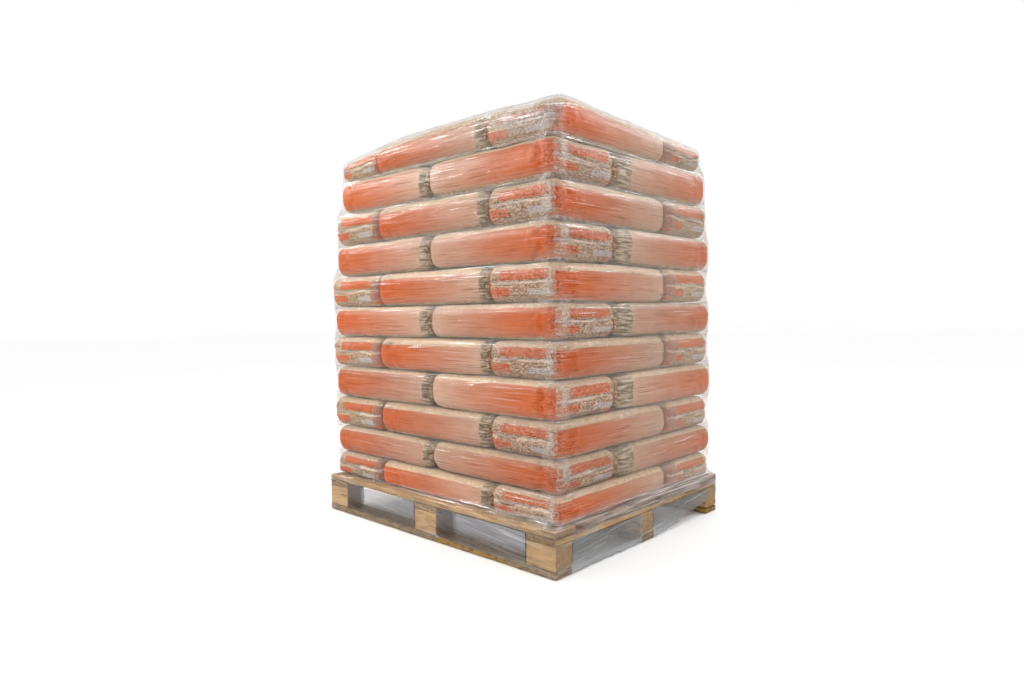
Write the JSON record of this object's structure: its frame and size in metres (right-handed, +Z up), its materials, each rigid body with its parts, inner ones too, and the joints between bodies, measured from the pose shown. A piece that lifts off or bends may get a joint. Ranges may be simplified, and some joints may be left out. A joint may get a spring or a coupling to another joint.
{
  "type": "pallet of sacks",
  "caption": "Filled film sacks stacked in bonded layers on a wooden block pallet, held together by clear stretch film.",
  "frame": {"origin": "middle of the pallet's footprint, at the floor", "axes": "+X along the pallet's 1200 mm side, +Y along its 1000 mm side, +Z up"},
  "size_m": [1.2026, 1.0026, 1.4413],
  "materials": {
    "deck_wood": "rough sawn",
    "cross_wood": "rough sawn",
    "block_wood": "rough sawn",
    "bottom_wood": "rough sawn",
    "sack_film": "printed film",
    "stretch_film": "clear film"
  },
  "bodies": {
    "root": {"deck_board_1": "deck_wood", "deck_board_2": "deck_wood", "deck_board_3": "deck_wood", "deck_board_4": "deck_wood", "deck_board_5": "deck_wood", "deck_board_6": "deck_wood", "deck_board_7": "deck_wood", "cross_board_1": "cross_wood", "cross_board_2": "cross_wood", "cross_board_3": "cross_wood", "block_front_left": "block_wood", "block_front_centre": "block_wood", "block_front_right": "block_wood", "block_middle_left": "block_wood", "block_middle_centre": "block_wood", "block_middle_right": "block_wood", "block_back_left": "block_wood", "block_back_centre": "block_wood", "block_back_right": "block_wood", "bottom_board_1": "bottom_wood", "bottom_board_2": "bottom_wood", "bottom_board_3": "bottom_wood", "sack_layer_01": "sack_film", "sack_layer_02": "sack_film", "sack_layer_03": "sack_film", "sack_layer_04": "sack_film", "sack_layer_05": "sack_film", "sack_layer_06": "sack_film", "sack_layer_07": "sack_film", "sack_layer_08": "sack_film", "sack_layer_09": "sack_film", "sack_layer_10": "sack_film", "sack_layer_11": "sack_film", "stretch_wrap": "stretch_film", "wrap_skirt_front": "stretch_film", "wrap_skirt_right": "stretch_film", "wrap_skirt_back": "stretch_film", "wrap_skirt_left": "stretch_film"}
  },
  "joints": []
}
